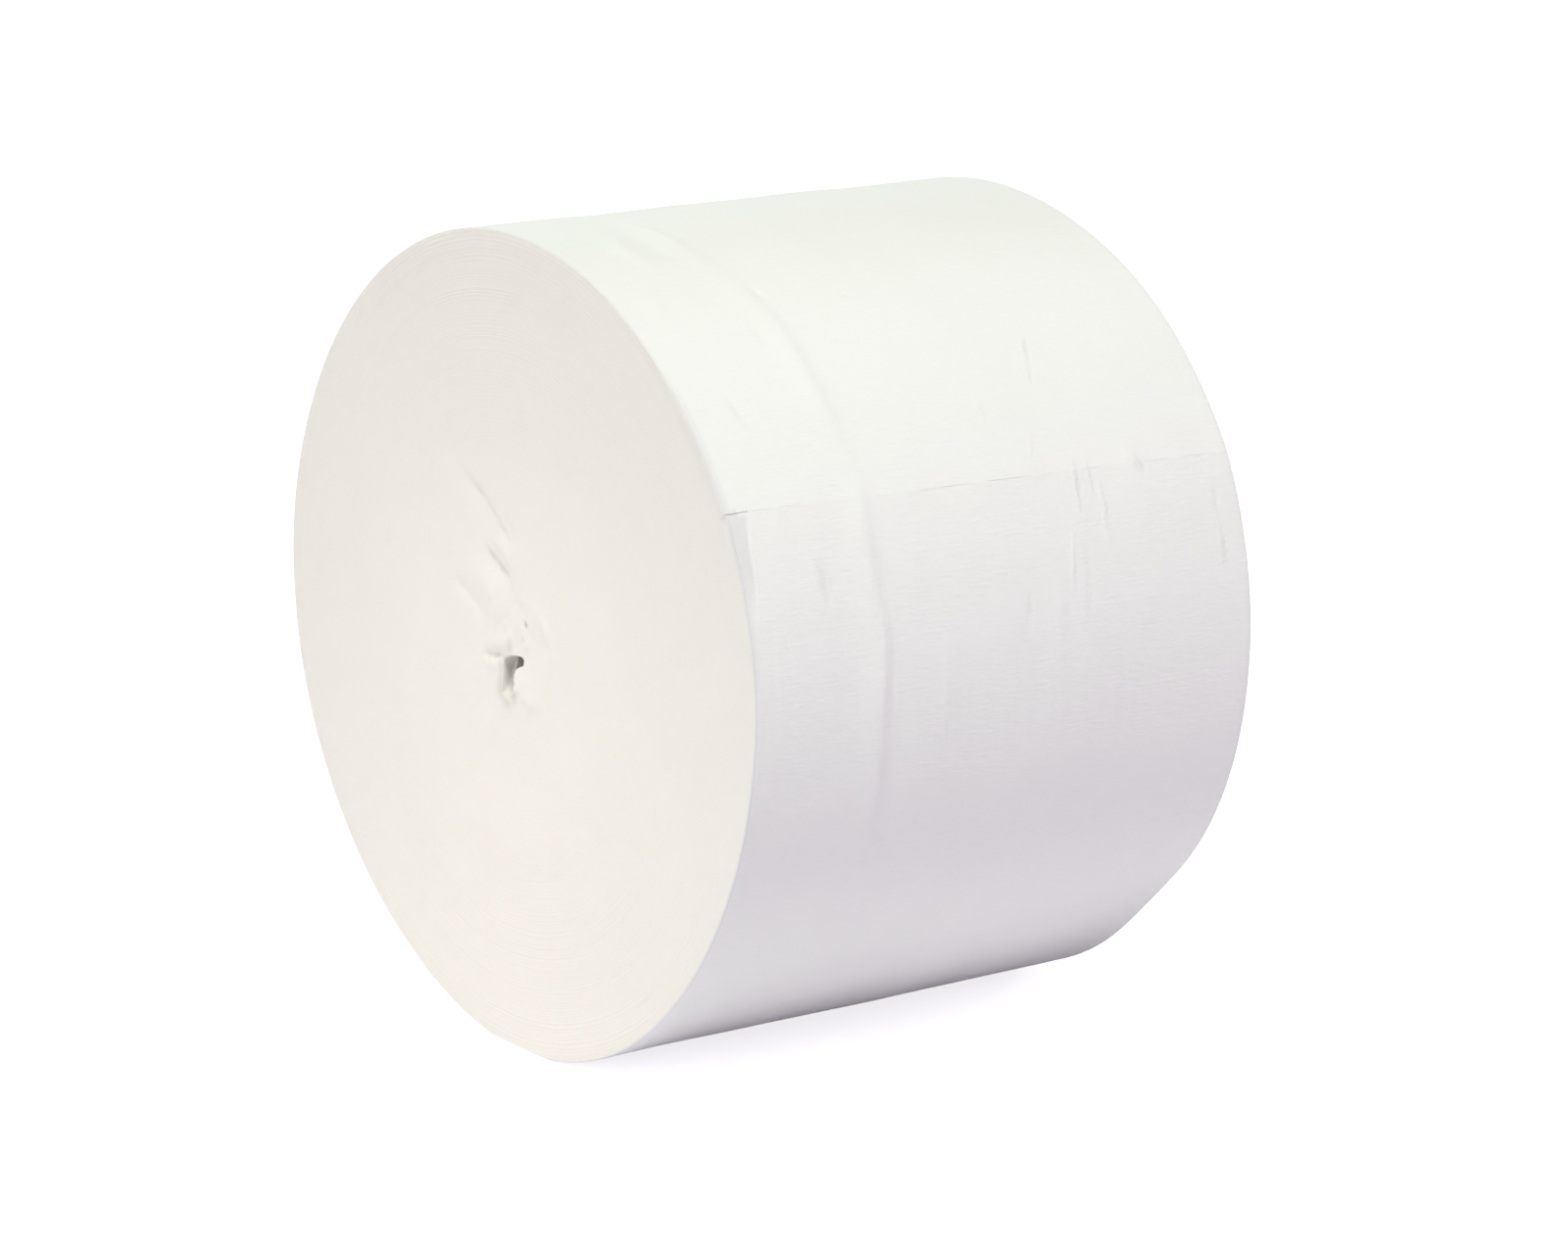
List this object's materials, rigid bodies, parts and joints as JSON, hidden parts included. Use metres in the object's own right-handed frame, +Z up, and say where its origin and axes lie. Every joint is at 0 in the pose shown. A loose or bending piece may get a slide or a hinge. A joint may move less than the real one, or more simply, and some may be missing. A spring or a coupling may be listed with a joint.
{
  "type": "coreless toilet paper roll",
  "caption": "Wide soft tissue roll wound without a tube, lying on its side, with a loose tail, a small collapsed pin hole right through its middle and fine folds round it.",
  "frame": {"origin": "middle of the small flat that the roll lies on, under the middle of its width", "axes": "+Z up, Y along the roll's axis with the end that shows the folds facing -Y, +X the side where the tail ends"},
  "size_m": [0.1329, 0.0974, 0.1324],
  "materials": {
    "tissue": "matte soft tissue, off-white, finely creped"
  },
  "bodies": {
    "root": {"paper_roll": "tissue"}
  },
  "joints": []
}
